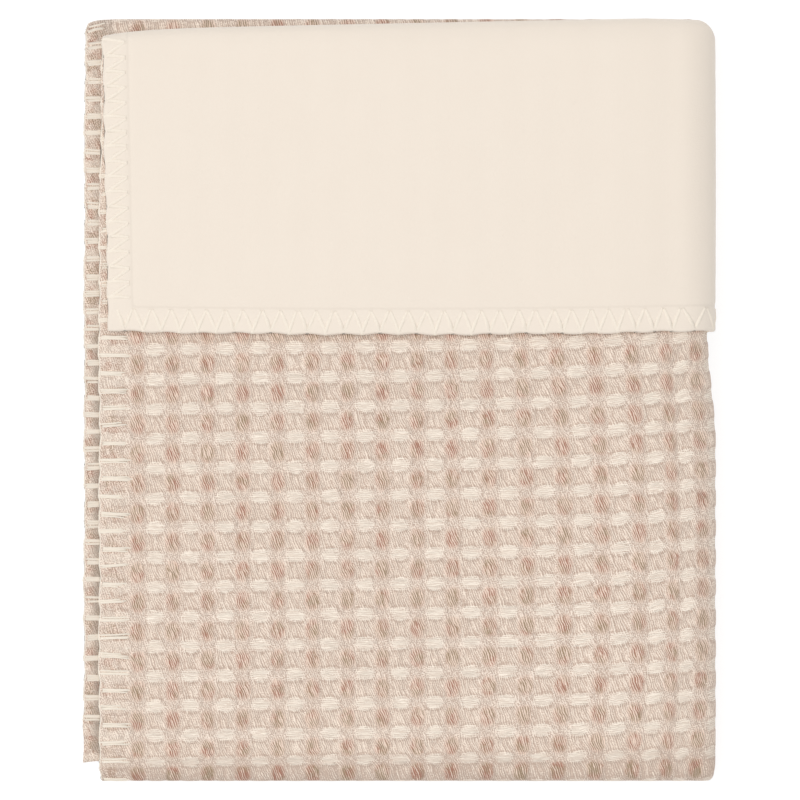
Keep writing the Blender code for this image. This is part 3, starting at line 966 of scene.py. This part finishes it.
class BLANKET_OT_stitching(bpy.types.Operator):
    """Sew the blanket stitch round all four hems"""

    bl_idname = "blanket.stitching"
    bl_label = "Hem stitching"

    def execute(self, context):
        sizes = context.scene.blanket_sizes
        pieces = []
        for hem, column in ((NEAR, 0.0), (FAR, float(FAR_HEM))):
            marks = strip_marks(np.array(column))
            parts = [marks[0], marks[1], UNDER_FLAP, marks[BACK_RUN], marks[INNER_FOLD]]
            parts += [marks[STRIP_END] - before_end for before_end in (*INNER_PARTS, 0.0)]
            pitches = sizes.stitch_pitch * np.array(SIDE_PITCHES)
            along = stitch_places(np.array(parts), pitches, FRONT_BAR, HEM_DEPTH)
            pieces += hem_stitches(hem, along, sizes)
        for hem, row in ((FLAP_END, 0.0), (INSIDE_END, float(STRIP_END))):
            marks, _ = across_marks(*fold_along(np.array(0.0), np.array(row), np.array(0.0)))
            ends = np.array([marks[0], marks[-1]])
            along = stitch_places(ends, END_PITCH * sizes.stitch_pitch, END_BAR, 2 * MM)
            pieces += hem_stitches(hem, along, sizes)
        points, faces, places = joined(pieces)
        points[:, 2] = np.maximum(points[:, 2], 0.0)  # pressed flat on the ground
        yarn = sewing_yarn(context.scene.blanket_colours)
        sewing = mesh_piece("hem_stitching", points, faces, {"yarn": places}, yarn)
        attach(sewing, "root")
        return {"FINISHED"}


# ---- the studio

FLOOR_SIDE = 14.0
FLOOR_GAP = 0.2 * MM
LENS = 400.0
SENSOR = 36.0
VIEW_WIDTH = 320.0 * MM  # what the picture takes in at the height of the front face
VIEW_HEIGHT = 32.0 * MM
VIEW_Y = 0.1 * MM
SKY_TOP = 0.7
SKY_HORIZON = 0.36
SOFTBOX_POWER = 45.3
TABLE_GLOW = 0.78
SOFTBOX_SIDE = 2.2
SOFTBOX_PLACE = (-0.8, 0.1, 2.9)


class BLANKET_OT_studio(bpy.types.Operator):
    """Set the pale floor, the soft light and the camera that looks straight down"""

    bl_idname = "blanket.studio"
    bl_label = "Studio"

    def execute(self, context):
        scene = context.scene
        # Matt uncoated paper: even and white, with no highlight
        paper = bpy.data.materials.new("matt_white_paper")
        add = bare_tree(paper)
        finish = {"Base Color": linear("959595"), "Roughness": 0.95, "Specular IOR Level": 0.1}
        finish |= {"Emission Color": (1.0, 1.0, 1.0, 1.0), "Emission Strength": TABLE_GLOW}
        shader = add("BsdfPrincipled", finish)
        add("OutputMaterial", [shader])
        sides = [-FLOOR_SIDE / 2, 0.0, FLOOR_SIDE / 2]
        x, y = np.meshgrid(sides, sides)
        points = np.stack([x, y, np.full_like(x, -FLOOR_GAP)], axis=-1).reshape(-1, 3)
        faces = grid_faces(3, 3, False)
        floor = mesh_piece("studio_floor", points, faces, {}, paper)

        world = bpy.data.worlds.new("soft_white_studio")
        add = bare_tree(world)
        way = add("TexCoord", output="Generated")
        height = add("SeparateXYZ", [way], output="Z")
        glow = add("MapRange", [height, 0.0, 0.5, SKY_HORIZON, SKY_TOP])
        sky = add("Background", {"Color": (1, 1, 1, 1), "Strength": glow})
        add("OutputWorld", [sky])
        scene.world = world

        lamp = bpy.data.lights.new("softbox", "AREA")
        lamp.shape = "SQUARE"
        lamp.size = SOFTBOX_SIDE
        lamp.energy = SOFTBOX_POWER
        softbox = bpy.data.objects.new("softbox", lamp)
        place = Vector(SOFTBOX_PLACE)
        softbox.location = place
        softbox.rotation_euler = (-place).to_track_quat("-Z", "Y").to_euler()
        scene.collection.objects.link(softbox)

        lens = bpy.data.cameras.new("camera")
        lens.lens = LENS
        lens.sensor_width = SENSOR
        lens.clip_end = 20.0
        camera = bpy.data.objects.new("camera", lens)
        camera.location = (0.0, VIEW_Y, VIEW_HEIGHT + VIEW_WIDTH * LENS / SENSOR)
        scene.collection.objects.link(camera)
        scene.camera = camera
        scene.view_settings.view_transform = "Standard"
        return {"FINISHED"}


OPERATORS = (BLANKET_OT_waffle_face, BLANKET_OT_lining, BLANKET_OT_stitching, BLANKET_OT_studio)


class BLANKET_PT_panel(bpy.types.Panel):
    """Everything that makes the blanket, in order"""

    bl_idname = "BLANKET_PT_panel"
    bl_label = "Blanket"
    bl_space_type = "VIEW_3D"
    bl_region_type = "UI"
    bl_category = "Blanket"

    def draw(self, context):
        for group in (context.scene.blanket_sizes, context.scene.blanket_colours):
            box = self.layout.column(align=True)
            for name in group.__annotations__:
                box.prop(group, name)
        for operator in OPERATORS:
            self.layout.operator(operator.bl_idname)


CLASSES = (BlanketSizes, BlanketColours, *OPERATORS, BLANKET_PT_panel)


def register():
    for made in CLASSES:
        bpy.utils.register_class(made)
    bpy.types.Scene.blanket_sizes = PointerProperty(type=BlanketSizes)
    bpy.types.Scene.blanket_colours = PointerProperty(type=BlanketColours)


def unregister():
    del bpy.types.Scene.blanket_colours
    del bpy.types.Scene.blanket_sizes
    for made in reversed(CLASSES):
        bpy.utils.unregister_class(made)


def main():
    register()
    for operator in OPERATORS:
        group, name = operator.bl_idname.split(".")
        getattr(getattr(bpy.ops, group), name)()


if __name__ == "__main__":
    main()
